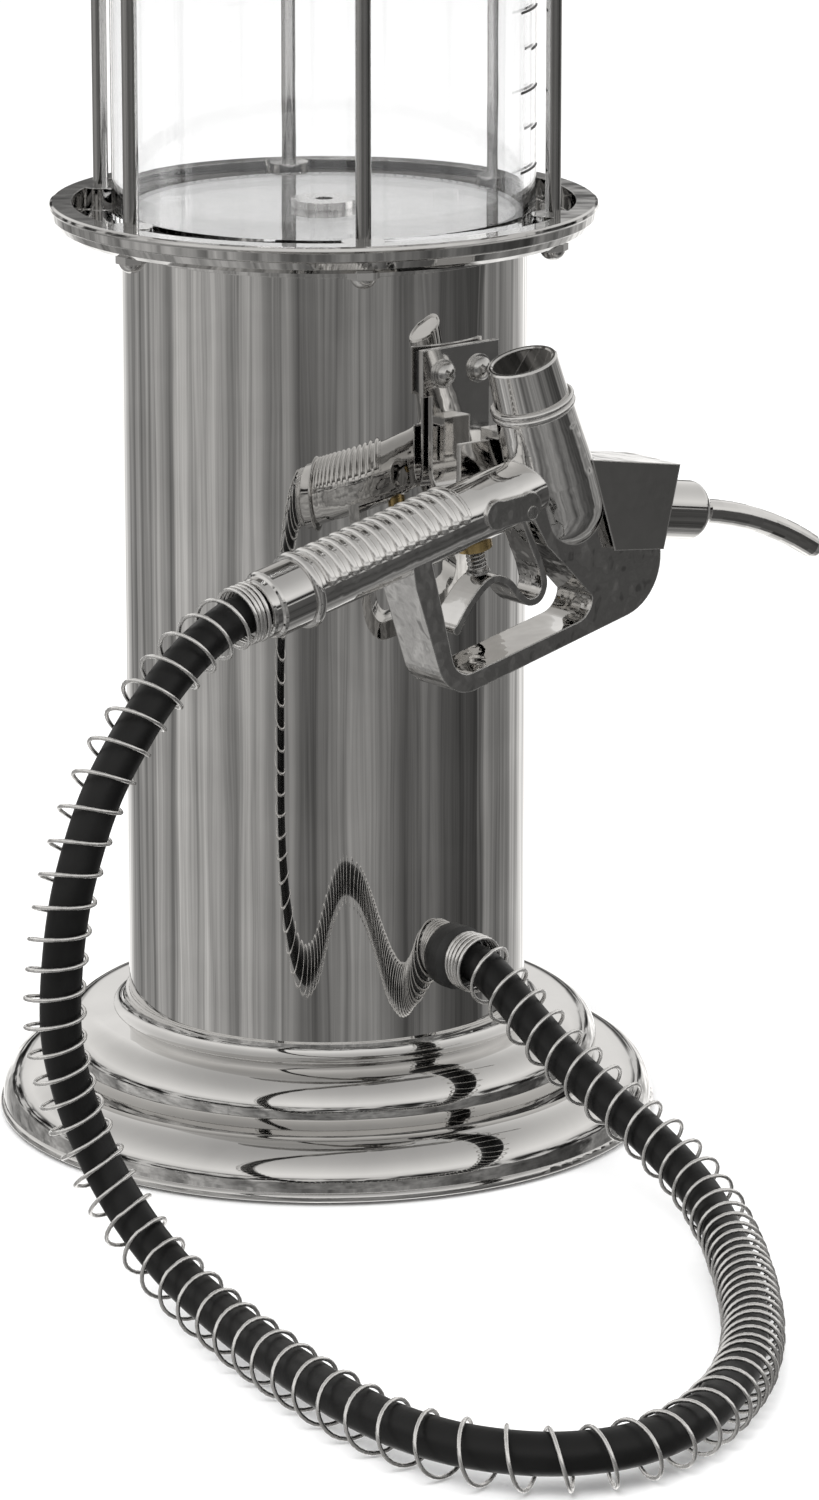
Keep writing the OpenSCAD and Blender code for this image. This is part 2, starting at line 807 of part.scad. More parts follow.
module gun_body() color("silver")
    in_gun()
        difference() {
            union() {
                translate([grip_end, 0, 0]) along_x() cylinder(r = grip_r, h = neck_x - grip_end);
                in_neck() neck_shape();
                in_spout() along_x() cylinder(r = nose_r, h = nose_len + 1);
                across(guard_w)
                    difference() {
                        polygon(guard_outside);
                        polygon(guard_inside);
                    }
                gun_boss();
            }
            translate([grip_end - 1, 0, liquid_z]) along_x()
                cylinder(r = liquid_r, h = neck_x - grip_end + 1);
            in_neck() translate([0, 0, -9]) cylinder(r = 3, h = 40);
            in_spout() along_x() cylinder(r = spout_r - spout_wall, h = nose_len + 2);
            in_spout() translate([nose_len, 0, 0]) along_x() cylinder(r = sleeve_r + 0.3, h = 20);
            translate([valve_x, 0, guide_top - 5]) cylinder(r = guide_r, h = 5);
            translate([valve_x, 0, guide_top - 1]) cylinder(r = valve_r, h = 6.6 - guide_top + 1);
            translate([-14.6, -slot_w / 2, -12]) cube([11.4, slot_w, 12.4]);
            translate([pin_at.x, 0, pin_at.y]) along_front() cylinder(r = pin_r, h = 30, center = true);
        }

module gun_cap_ring() color("silver")
    in_gun() in_neck()
        rotate_extrude() {
            translate([3, neck_top]) square([6.6, cap_z - neck_top]);
            translate([9.5, neck_top + 0.8]) circle(r = 0.8, $fn = 32);
            translate([9.5, neck_top + 2.3]) circle(r = 0.8, $fn = 32);
        }

module gun_cap() color("silver")
    in_gun() in_neck()
        rotate_extrude()
            polygon([
                [0, cap_z - 8], [3, cap_z - 8], [3, cap_z], [9.1, cap_z], [8.6, cap_z + cap_h - 0.5],
                [8.2, cap_z + cap_h], [7.6, cap_z + cap_h], [7.2, cap_z + cap_h - 0.4],
                [0, cap_z + cap_h - 0.4]
            ]);

module gun_hood() color("silver")
    in_gun()
        difference() {
            in_spout()
                intersection() {
                    difference() {
                        translate([-12, -hood_w / 2, -14]) cube([42, hood_w, hood_top + 14]);
                        translate([-13, -hood_w / 2 + hood_t, -15])
                            cube([44, hood_w - 2 * hood_t, hood_top + 15 - hood_t]);
                    }
                    across(hood_w + 2)
                        polygon([
                            [-4, hood_top + 1], [28, hood_top + 1], [26.4, -8.6], [7, -9.6], [-4, -3]
                        ]);
                }
            in_neck() cylinder(r = neck_r, h = 60, center = true);
            in_neck() translate([0, 0, -8]) sphere(r = neck_r);
        }

module gun_hanger() color("silver")
    difference() {
        union() {
            translate([0.5, -gun_reach + 6, lip_top + 0.3]) cube([8, gun_reach - 6 - lip_back + 2.3, 2.1]);
            translate([0.5, -lip_back + 0.5, lip_top - 8.5]) cube([8, 1.8, 10.9]);
        }
        in_gun() in_neck() cylinder(r1 = neck_r, r2 = neck_top_r, h = neck_top);
    }

module grip_ribs() color("silver")
    in_gun()
        difference() {
            union() {
                translate([rib_first + rib_count * rib_step + 2, 0, 0]) along_x()
                    rotate([0, 0, 180 - rib_half_turn])
                        rotate_extrude(angle = 2 * rib_half_turn)
                            translate([grip_r - 0.5, 0]) square([saddle_t + 0.5, -rib_count * rib_step]);
                for (i = [0:rib_count - 1])
                    translate([rib_first + i * rib_step, 0, 0]) along_x() {
                        rotate([0, 0, 180 - rib_half_turn])
                            rotate_extrude(angle = 2 * rib_half_turn)
                                translate([grip_r + 0.2, 0]) circle(r = rib_wire_r, $fn = 24);
                        for (s = [-1, 1])
                            rotate([0, 0, 180 + s * rib_half_turn])
                                translate([grip_r + 0.3, 0, 0]) sphere(r = 1.25, $fn = 24);
                    }
            }
            translate([grip_end - 10, 0, 0]) along_x() cylinder(r = grip_r, h = 90);
        }

module grip_ring() color("silver")
    in_gun() translate([grip_end - 2 * ring_bead_r, 0, 0]) along_x()
        rotate_extrude() {
            translate([collar_r, ring_bead_r]) circle(r = ring_bead_r, $fn = 32);
            translate([liquid_z + liquid_r, 0]) square([collar_r - liquid_z - liquid_r, 2 * ring_bead_r]);
        }

module hose_collar() color("silver")
    in_gun() translate([collar_end, 0, 0]) along_x()
        rotate_extrude()
            polygon([
                [2, 0], [6.6, 0], [7.1, 0.3], [7.3, 1], [7.3, 2.4], [7.9, 2.8], [8.2, 3.4],
                [8.2, 12], [4.2, 12], [4.2, 9], [2, 8]
            ]);

module spout_sleeve() color("silver") {
    long = sleeve_end - nose_len;
    in_gun() in_spout() translate([nose_len, 0, 0]) along_x()
        rotate_extrude()
            polygon(concat(
                [[spout_r, 0], [sleeve_r - 0.6, 0], [sleeve_r - 0.6, 3], [sleeve_r, 3.6]],
                arc([sleeve_r - 2.6, long - 5.6], 2.6, 0, 60, 6),
                [[spout_r + 1, long - 0.6], [spout_r + 0.6, long], [spout_r, long]]
            ));
}

module spout() color("silver") {
    bend = [
        for (a = [0:spout_turn / 8:spout_turn + 0.01])
        [sleeve_end + spout_bend_r * sin(a), 0, spout_bend_r * (cos(a) - 1)]
    ];
    end = bend[len(bend) - 1];
    ahead = [cos(spout_turn), 0, -sin(spout_turn)];
    tip = [for (step = [2.4, 4.2, 5]) end + step * ahead];
    path = concat([[nose_len, 0, 0], [sleeve_end - 8, 0, 0]], bend, tip);
    last = len(path) - 1;
    outer = [for (i = [0:last]) i < last - 1 ? spout_r : i < last ? 2.5 : 2];
    inner = [for (r = outer) r - spout_wall];
    in_gun() in_spout() sweep_sleeve(path, inner, outer, 24);
}

// ---------- valve and trigger ----------

module valve_guide() color("goldenrod")
    in_gun() translate([valve_x, 0, 0])
        difference() {
            translate([0, 0, guide_bottom]) cylinder(r = guide_r, h = guide_top - guide_bottom);
            translate([0, 0, guide_bottom - 1]) cylinder(r = stem_r + running_gap, h = 10);
        }

module valve_stem() color("lightgray")
    in_gun() translate([valve_x, 0, 0])
        rotate_extrude()
            polygon([
                [0, stem_foot], [2.2, stem_foot], [2.8, stem_foot + 0.4], [2.8, stem_foot + stem_foot_t],
                [stem_r, stem_foot + stem_foot_t], [stem_r, -4.9], [valve_r - running_gap, -4.9],
                [valve_r - running_gap, -1.9], [stem_r, -1.9], [stem_r, 0.5], [valve_r - running_gap, 0.5],
                [valve_r - running_gap, 4.3], [0, 4.3]
            ]);

module valve_spring() color("gray") {
    low = stem_foot + stem_foot_t + spring_wire_r;
    high = guide_bottom - spring_wire_r;
    steps = 12 * spring_turns;
    coil = [
        for (i = [0:steps])
        let (t = i / steps, turn = 360 * spring_turns * t)
        [spring_mean_r * cos(turn), spring_mean_r * sin(turn), low + (high - low) * t]
    ];
    in_gun() translate([valve_x, 0, 0]) sweep(coil, spring_wire_r, 6);
}

module trigger_pin() color("lightgray")
    in_gun() translate([pin_at.x, 0, pin_at.y]) along_front()
        cylinder(r = pin_r, h = 17.2, center = true);

module trigger() color("silver")
    in_gun()
        difference() {
            union() {
                across(trigger_w) polygon(strip(smooth(trigger_line, 0.25), trigger_t));
                across(trigger_w) translate(trigger_line[len(trigger_line) - 1])
                    circle(r = trigger_t / 2 + 0.3);
                across(trigger_w) translate(pin_at) circle(r = eye_r);
            }
            translate([pin_at.x, 0, pin_at.y]) along_front()
                cylinder(r = pin_r + running_gap, h = 30, center = true);
        }

// ---------- hose ----------

module hose() color("black")
    sweep(smooth([for (r = hose_route) r[0]], 1 / rings_per_leg), hose_d / 2, hose_sides);

module hose_spring() color("lightgray")
    sweep_sleeve(
        smooth([for (r = hose_route) r[0] + r[1]], 1 / rings_per_leg),
        guard_d / 2 - 0.5, guard_d / 2, hose_sides
    );

base_pad();
base_cover();
base_lower_dome();
base_upper_dome();
base_ballast();
base_core();
base_screws();
column_foot();
column_collar();
column_tube();
column_head();
tray();
tray_screws();
tray_gasket();
rod_1();
rod_2();
rod_3();
rod_4();
rod_5();
rod_6();
rod_nuts_lower();
rod_nuts_upper();
canister_tube();
canister_floor();
canister_marks();
top_gasket();
top_ring();
lid();
lid_seal();
lid_knob();
lid_screw();
outlet_fitting();
outlet_nut();
feed_hose();
feed_clamp();
hose_grommet();
bracket_pad();
bracket();
bracket_nut_plate();
bracket_screws();
gun_body();
gun_cap_ring();
gun_cap();
gun_hood();
gun_hanger();
grip_ribs();
grip_ring();
hose_collar();
spout_sleeve();
spout();
valve_guide();
valve_spring();
valve_stem();
trigger_pin();
trigger();
hose();
hose_spring();
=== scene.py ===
import json
import math

import bpy
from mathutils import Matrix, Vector


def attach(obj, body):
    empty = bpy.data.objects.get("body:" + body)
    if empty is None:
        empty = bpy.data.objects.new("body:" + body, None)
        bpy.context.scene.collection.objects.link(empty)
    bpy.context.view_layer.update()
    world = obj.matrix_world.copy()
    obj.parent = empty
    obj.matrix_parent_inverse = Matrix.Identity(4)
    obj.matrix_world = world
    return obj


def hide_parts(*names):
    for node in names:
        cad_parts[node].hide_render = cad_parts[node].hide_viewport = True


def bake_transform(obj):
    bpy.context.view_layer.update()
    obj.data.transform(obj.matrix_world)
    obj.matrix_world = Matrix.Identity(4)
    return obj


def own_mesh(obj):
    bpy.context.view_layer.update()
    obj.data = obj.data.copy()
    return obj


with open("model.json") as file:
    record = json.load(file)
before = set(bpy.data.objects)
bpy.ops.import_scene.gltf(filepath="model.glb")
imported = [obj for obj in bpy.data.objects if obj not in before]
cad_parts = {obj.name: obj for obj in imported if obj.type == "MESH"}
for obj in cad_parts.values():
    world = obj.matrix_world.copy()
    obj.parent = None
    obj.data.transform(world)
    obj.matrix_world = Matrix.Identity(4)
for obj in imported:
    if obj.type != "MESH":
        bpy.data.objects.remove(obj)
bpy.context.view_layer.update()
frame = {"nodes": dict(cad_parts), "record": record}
MM = 0.001
COLUMN_MIDDLE = (0, 0, 0.15)

# ---------- camera: 147 mm lens, 1.54 m from the middle of the picture, 15 degrees above it ----------
CAMERA_AT = Vector((-0.9360, -1.1559, 0.4874))
CAMERA_AHEAD = Vector((0.61874, 0.74245, -0.25677))
CAMERA_LENS = 147.2

# ---------- hose: its middle line, and the loose spring's offset from it, in millimetres ----------
GUN_X, GUN_REACH, GUN_Z = 3.5, 75.0, 173.0
HANG_ANGLE = math.radians(12)
COLLAR_END = -87.0
OUTLET_Z, OUTLET_MOUTH = 50.0, 53.8
HOSE_D = 9.6
SPRING_MEAN_R, SPRING_WIRE_R = 6.8, 0.5
VALVE_X, VALVE_LOW, VALVE_HIGH = -21.0, -14.3, -9.2
VALVE_TURNS, VALVE_MEAN_R, VALVE_WIRE_R = 5, 2.1, 0.3


def gun_point(x, z):
    """A point of the gun's middle plane, in millimetres in the shared frame."""
    c, s = math.cos(HANG_ANGLE), math.sin(HANG_ANGLE)
    return (GUN_X + x * c - z * s, -GUN_REACH, GUN_Z + x * s + z * c)


HOSE_ROUTE = [
    (gun_point(COLLAR_END - 0.4, 0), (0, 0, 0)),
    (gun_point(COLLAR_END - 8, 0), (0, 0, 0)),
    ((-101, -76, 147.8), (-0.4, 0, 0.6)),
    ((-111, -76.5, 140), (-0.8, 0.2, 0.6)),
    ((-120, -77, 130.5), (-1, 0.4, 0.6)),
    ((-127.5, -77, 120), (-1.1, 0.5, 0.4)),
    ((-133, -77, 108.5), (-1.2, 0.6, 0.2)),
    ((-137.5, -77, 95), (-1.2, 0.6, 0)),
    ((-140, -77, 80), (-1.2, 0.6, 0)),
    ((-140.5, -77, 65), (-1.2, 0.6, 0)),
    ((-138.5, -78, 52), (-1.2, 0.5, 0)),
    ((-135.5, -80.5, 40), (-1, 0.3, -0.2)),
    ((-133, -86, 29), (-0.9, 0, -0.4)),
    ((-131.5, -95.5, 19.5), (-0.7, 0, -0.7)),
    ((-132, -109.5, 13), (-0.6, -0.2, -0.9)),
    ((-134.5, -127, 10), (-0.5, -0.4, -1)),
    ((-138.5, -147, 8.8), (-0.5, -0.5, -1)),
    ((-143, -168.5, 8.8), (-0.5, -0.5, -1)),
    ((-146, -188, 8.8), (-0.5, -0.5, -1)),
    ((-146.5, -207, 8.8), (-0.5, -0.5, -1)),
    ((-142.5, -224, 8.8), (-0.4, -0.6, -1)),
    ((-132.5, -238, 8.8), (-0.3, -0.7, -1)),
    ((-118, -245, 8.8), (-0.1, -0.8, -1)),
    ((-101.5, -244.5, 8.8), (0.4, -0.8, -1)),
    ((-84.5, -238, 8.8), (0.8, -0.6, -0.8)),
    ((-67.5, -227, 8.8), (1, -0.6, -0.6)),
    ((-50.5, -211.5, 8.8), (1.1, -0.6, -0.6)),
    ((-34, -192.5, 8.8), (1.1, -0.6, -0.6)),
    ((-19.5, -173.5, 8.8), (1.1, -0.6, -0.6)),
    ((-8.5, -156.5, 10.4), (1, -0.5, -0.4)),
    ((-2, -140, 15), (0.8, -0.3, 0)),
    ((0, -122.5, 21.6), (0.8, 0, 0.2)),
    ((0, -105, 28), (0.6, 0, 0.4)),
    ((0, -90, 34.2), (0.4, 0, 0.4)),
    ((0, -77, 41.2), (0.2, 0, 0.2)),
    ((0, -68, 46.5), (0, 0, 0)),
    ((0, -62, 49.3), (0, 0, 0)),
    ((0, -58, OUTLET_Z), (0, 0, 0)),
    ((0, -OUTLET_MOUTH, OUTLET_Z), (0, -0.3, 0)),
]


def make_camera():
    data = bpy.data.cameras.new("camera")
    data.lens = CAMERA_LENS
    data.sensor_width = 36
    data.clip_start, data.clip_end = 0.05, 50
    camera = bpy.data.objects.new("camera", data)
    camera.location = CAMERA_AT
    camera.rotation_euler = CAMERA_AHEAD.to_track_quat("-Z", "Y").to_euler()
    bpy.context.scene.collection.objects.link(camera)
    bpy.context.scene.camera = camera


# ---------- mesh helpers ----------

def along(points, u):
    """The smooth curve through the points, at u legs from its start."""
    last = len(points) - 1
    i = min(int(u), last - 1)
    t = u - i
    a, b, c, d = points[max(i - 1, 0)], points[i], points[i + 1], points[min(i + 2, last)]
    square = (2 * a - 5 * b + 4 * c - d) * t ** 2
    cube = (3 * b - a - 3 * c + d) * t ** 3
    return 0.5 * (2 * b + (c - a) * t + square + cube)


def smooth(points, per_leg):
    legs = len(points) - 1
    return [along(points, k / per_leg) for k in range(legs * per_leg + 1)]


def path_length(path):
    return sum((b - a).length for a, b in zip(path, path[1:]))


def headings(path):
    last = len(path) - 1
    return [(path[min(i + 1, last)] - path[max(i - 1, 0)]).normalized() for i in range(last + 1)]


def carried_sides(path, first):
    """A side vector at each point of the path, carried along without twist."""
    sides = []
    side = Vector(first)
    for heading in headings(path):
        side = (side - side.dot(heading) * heading).normalized()
        sides.append(side)
    return sides


def mesh_object(name, vertices, faces, smooth_faces=True):
    mesh = bpy.data.meshes.new(name)
    mesh.from_pydata([tuple(v) for v in vertices], [], faces)
    mesh.validate()
    for polygon in mesh.polygons:
        polygon.use_smooth = smooth_faces
    mesh.update()
    piece = bpy.data.objects.new(name, mesh)
    bpy.context.scene.collection.objects.link(piece)
    return piece


def tube(name, path, radius, sides, first=(0, 1, 0)):
    """Closed round rod along the path."""
    vertices, faces = [], []
    last = len(path) - 1
    for at, heading, side in zip(path, headings(path), carried_sides(path, first)):
        other = heading.cross(side)
        for k in range(sides):
            turn = 2 * math.pi * k / sides
            vertices.append(at + radius * (math.cos(turn) * side + math.sin(turn) * other))
    for i in range(last):
        for k in range(sides):
            a, b = i * sides + k, i * sides + (k + 1) % sides
            faces.append((a, b, b + sides, a + sides))
    faces.append(tuple(reversed(range(sides))))
    faces.append(tuple(range(last * sides, (last + 1) * sides)))
    return mesh_object(name, vertices, faces)


def coil_path(centre_line, radius, pitch, per_turn, wobble):
    """Points of a helix about the centre line. pitch is a function of the share of the line."""
    total = path_length(centre_line)
    sides = carried_sides(centre_line, (0, 0, 1))
    points, turn, done = [], 0.0, 0.0
    for i in range(len(centre_line) - 1):
        a, b = centre_line[i], centre_line[i + 1]
        leg = (b - a).length
        heading = (b - a).normalized()
        steps = max(1, round(leg / pitch(done / total) * per_turn))
        for k in range(steps):
            t = k / steps
            side = sides[i].lerp(sides[i + 1], t).normalized()
            other = heading.cross(side)
            r = radius * (1 + wobble * math.sin(0.37 * turn) * math.sin(0.11 * turn + 1))
            points.append(a.lerp(b, t) + r * (math.cos(turn) * side + math.sin(turn) * other))
            turn += 2 * math.pi * leg / steps / pitch((done + t * leg) / total)
        done += leg
    return points


# ---------- shader helpers ----------

class Shader:
    """A material with a Principled shader and short ways to add nodes to it."""

    def __init__(self, name):
        self.material = bpy.data.materials.new(name)
        self.material.use_nodes = True
        self.nodes = self.material.node_tree.nodes
        self.links = self.material.node_tree.links
        self.surface = self.nodes["Principled BSDF"]
        self.place = self.nodes.new("ShaderNodeTexCoord").outputs["Object"]

    def set(self, **values):
        for socket, value in values.items():
            self.surface.inputs[socket.replace("_", " ")].default_value = value
        return self

    def stretched(self, scale):
        mapping = self.nodes.new("ShaderNodeMapping")
        mapping.inputs["Scale"].default_value = scale
        self.links.new(self.place, mapping.inputs["Vector"])
        return mapping.outputs["Vector"]

    def noise(self, scale, detail=4.0, stretch=None, distortion=0.0):
        node = self.nodes.new("ShaderNodeTexNoise")
        node.inputs["Scale"].default_value = scale
        node.inputs["Detail"].default_value = detail
        node.inputs["Distortion"].default_value = distortion
        self.links.new(self.stretched(stretch) if stretch else self.place, node.inputs["Vector"])
        return node.outputs["Fac"]

    def between(self, value, low, high, out_low, out_high):
        node = self.nodes.new("ShaderNodeMapRange")
        limits = {"From Min": low, "From Max": high, "To Min": out_low, "To Max": out_high}
        for socket, number in limits.items():
            node.inputs[socket].default_value = number
        self.links.new(value, node.inputs["Value"])
        return node.outputs["Result"]

    def colours(self, value, stops):
        node = self.nodes.new("ShaderNodeValToRGB")
        ramp = node.color_ramp
        while len(ramp.elements) < len(stops):
            ramp.elements.new(1)
        for element, (at, colour) in zip(ramp.elements, stops):
            element.position = at
            element.color = (*colour, 1)
        self.links.new(value, node.inputs["Fac"])
        return node.outputs["Color"]

    def colour(self, value):
        self.links.new(value, self.surface.inputs["Base Color"])
        return self

    def roughness(self, value):
        self.links.new(value, self.surface.inputs["Roughness"])
        return self

    def bump(self, value, depth, edge=0.0):
        """Height in metres from a value; edge rounds the shading of sharp edges by that radius."""
        node = self.nodes.new("ShaderNodeBump")
        node.inputs["Strength"].default_value = 1.0
        node.inputs["Distance"].default_value = depth
        self.links.new(value, node.inputs["Height"])
        if edge:
            bevel = self.nodes.new("ShaderNodeBevel")
            bevel.samples = 4
            bevel.inputs["Radius"].default_value = edge
            self.links.new(bevel.outputs["Normal"], node.inputs["Normal"])
        self.links.new(node.outputs["Normal"], self.surface.inputs["Normal"])
        return self


def grey(value, warm=0.03):
    """A neutral tone with a slight warm cast."""
    return (value, value * (1 - warm * 0.4), value * (1 - warm))


def chrome(name, tone, haze, ripple, ripple_size, stretch=None, edge=0.0003):
    """Chrome plate: a mirror with faint haze, smudges and long low ripples."""
    shader = Shader(name).set(Metallic=1.0)
    smudge = shader.noise(45, 5, distortion=0.6)
    shader.colour(shader.colours(smudge, [(0.3, grey(tone * 0.9)), (0.65, grey(tone))]))
    shader.roughness(shader.between(smudge, 0.35, 0.75, haze * 0.5, haze * 1.8))
    waves = shader.noise(1 / ripple_size, 2, stretch)
    return shader.bump(waves, ripple, edge=edge).material


def brushed(name, tone, roughness, metallic=1.0, warm=0.03):
    shader = Shader(name).set(Metallic=metallic)
    grain = shader.noise(900, 6, (1, 1, 0.15))
    shader.colour(shader.colours(grain, [(0.3, grey(tone * 0.75, warm)), (0.7, grey(tone, warm))]))
    shader.roughness(shader.between(grain, 0.3, 0.7, roughness * 0.7, roughness * 1.4))
    return shader.bump(grain, 0.00004, edge=0.0002).material


def rubber(name, tone, roughness, grain_size=0.0012, relief=0.00005):
    shader = Shader(name).set(Specular_IOR_Level=0.28)
    dust = shader.noise(70, 6, distortion=0.8)
    shader.colour(shader.colours(dust, [(0.35, grey(tone)), (0.75, grey(tone * 2.2))]))
    shader.roughness(shader.between(dust, 0.3, 0.7, roughness * 0.85, roughness * 1.25))
    return shader.bump(shader.noise(1 / grain_size, 5), relief).material


def coated(name, tone, roughness):
    shader = Shader(name)
    grain = shader.noise(1400, 5)
    shader.colour(shader.colours(shader.noise(60, 4), [(0.3, grey(tone * 0.8)), (0.7, grey(tone * 1.2))]))
    shader.roughness(shader.between(grain, 0.3, 0.7, roughness * 0.8, roughness * 1.2))
    return shader.bump(grain, 0.00006).material


def clear(name, tone, roughness, ripple):
    """Clear acrylic: faint long waves and a little haze where it is handled."""
    shader = Shader(name).set(Transmission_Weight=1.0, IOR=1.49)
    haze = shader.noise(25, 4, (1, 1, 0.3))
    shader.colour(shader.colours(haze, [(0.3, grey(tone, 0)), (0.7, grey(tone + 0.02, 0))]))
    shader.roughness(shader.between(haze, 0.4, 0.8, roughness * 0.3, roughness))
    return shader.bump(haze, ripple).material


def brass(name):
    shader = Shader(name).set(Metallic=1.0)
    turning = shader.noise(700, 3, (0.1, 0.1, 1))
    shader.colour(shader.colours(turning, [(0.3, (0.42, 0.30, 0.13)), (0.7, (0.62, 0.47, 0.22))]))
    shader.roughness(shader.between(turning, 0.3, 0.7, 0.2, 0.4))
    return shader.bump(turning, 0.00005).material


def silicone(name):
    shader = Shader(name).set(Transmission_Weight=0.35, IOR=1.4)
    cloud = shader.noise(120, 4)
    shader.colour(shader.colours(cloud, [(0.3, grey(0.45)), (0.7, grey(0.6))]))
    shader.roughness(shader.between(cloud, 0.3, 0.7, 0.35, 0.5))
    return shader.bump(cloud, 0.00005).material


def make_materials():
    upright = (1, 1, 0.06)
    return {
        "chrome": chrome("chrome", 0.66, 0.025, 0.00006, 0.02),
        "chrome_column": chrome("chrome_column", 0.66, 0.016, 0.0003, 0.022, (1, 1, 0.16), edge=0),
        "chrome_tray": chrome("chrome_tray", 0.58, 0.04, 0.00005, 0.015),
        "chrome_sheet": chrome("chrome_sheet", 0.72, 0.06, 0.00014, 0.012, edge=0.0005),
        "chrome_cast": chrome("chrome_cast", 0.72, 0.03, 0.0003, 0.009, edge=0.0005),
        "rod_chrome": chrome("rod_chrome", 0.40, 0.12, 0.00005, 0.004, upright, edge=0),
        "screw_steel": brushed("screw_steel", 0.62, 0.22),
        "spring_steel": brushed("spring_steel", 0.55, 0.25),
        "spring_wire": brushed("spring_wire", 0.88, 0.24),
        "valve_brass": brass("valve_brass"),
        "hose_rubber": rubber("hose_rubber", 0.003, 0.38),
        "grommet_rubber": rubber("grommet_rubber", 0.012, 0.42),
        "pad_rubber": rubber("pad_rubber", 0.02, 0.6),
        "gasket": silicone("gasket"),
        "acrylic": clear("acrylic", 0.96, 0.03, 0.00008),
        "mark_ink": coated("mark_ink", 0.02, 0.5),
        "cover_plate": coated("cover_plate", 0.05, 0.4),
        "column_foot": coated("column_foot", 0.05, 0.5),
        "ballast": coated("ballast", 0.10, 0.75),
        "core": coated("core", 0.06, 0.5),
    }


# ---------- pieces ----------

def in_slot(piece, material_slot, materials):
    piece.data.materials.clear()
    piece.data.materials.append(materials[material_slot])
    return piece


def make_hose(materials):
    """The rubber hose, from the gun's collar round on the table to the grommet on the column."""
    path = smooth([Vector(at) * MM for at, _ in HOSE_ROUTE], 10)
    hose = tube("hose_rubber", path, HOSE_D / 2 * MM, 32)
    in_slot(hose, "hose_rubber", materials)
    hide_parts("hose")
    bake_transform(hose)
    return hose


# The loose spring's turns lie close together over a short share at each end, this many millimetres apart
CLOSE_TURNS_TO, CLOSE_TURNS_FROM, CLOSE_GAP = 0.008, 0.990, 1.15

# Distance between its other turns, in millimetres, by share of its length from the gun
TURN_GAPS = [
    (0.0, 5.6), (0.10, 8.0), (0.22, 5.8), (0.34, 9.0), (0.45, 10.2), (0.58, 9.0), (0.66, 4.8), (0.78, 5.0),
    (0.86, 7.7), (1.0, 7.7),
]


def guard_pitch(share):
    """Distance between turns of the loose spring, in metres."""
    if share < CLOSE_TURNS_TO or share > CLOSE_TURNS_FROM:
        return CLOSE_GAP * MM
    for (start, low), (end, high) in zip(TURN_GAPS, TURN_GAPS[1:]):
        if share <= end:
            return (low + (high - low) * (share - start) / (end - start)) * MM
    return TURN_GAPS[-1][1] * MM


def make_guard_spring(materials):
    """The loose wire spring that the hose lies in."""
    middle = smooth([(Vector(at) + Vector(off)) * MM for at, off in HOSE_ROUTE], 8)
    path = coil_path(middle, SPRING_MEAN_R * MM, guard_pitch, 26, wobble=0.02)
    spring = tube("hose_guard_spring", path, SPRING_WIRE_R * MM, 8)
    in_slot(spring, "spring_wire", materials)
    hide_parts("hose_spring")
    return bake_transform(spring)


def make_valve_spring(materials):
    """The small spring under the valve guide, drawn as a coil of one fixed length that moves with the gun;
    the real spring shortens as the stem rises.
    """
    steps = VALVE_TURNS * 24
    path = []
    for i in range(steps + 1):
        turn = 2 * math.pi * VALVE_TURNS * i / steps
        height = VALVE_LOW + (VALVE_HIGH - VALVE_LOW) * i / steps
        x, y, z = gun_point(VALVE_X + VALVE_MEAN_R * math.cos(turn), height)
        path.append(Vector((x, y + VALVE_MEAN_R * math.sin(turn), z)) * MM)
    spring = tube("valve_spring_coil", path, VALVE_WIRE_R * MM, 8)
    in_slot(spring, "spring_steel", materials)
    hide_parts("valve_spring")
    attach(spring, "gun")
    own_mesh(spring)
    return spring


def dress_nodes(materials):
    """Every CAD node keeps its mesh and gets its slot's material."""
    for row in frame["record"]["subparts"]:
        node = frame["nodes"][row["node"]]
        node.data.materials.clear()
        node.data.materials.append(materials[row["material_slot"]])


# ---------- room ----------

# Brightness of what stands round the dispenser, by turn from the camera's side, in degrees to its right
ROOM_BANDS = [
    (-180, 0.95), (-160, 0.86), (-148, 0.52), (-122, 0.50), (-108, 0.60), (-98, 0.46), (-92, 0.70),
    (-80, 0.60),
    (-66, 0.64), (-52, 0.46), (-47, 0.62), (-38, 0.60), (-30, 0.42), (-22, 0.54), (-14, 0.36), (0, 0.40),
    (18, 0.48), (40, 0.44), (46, 0.32), (58, 0.42), (70, 0.32), (84, 0.28), (100, 0.24), (106, 0.50),
    (114, 0.42), (128, 0.48), (144, 0.66), (160, 0.90), (180, 0.95),
]


ROOM_BRIGHTNESS = 1.45
STREAK_CONTRAST = 3.0


def to_linear(value):
    return value ** 2.2


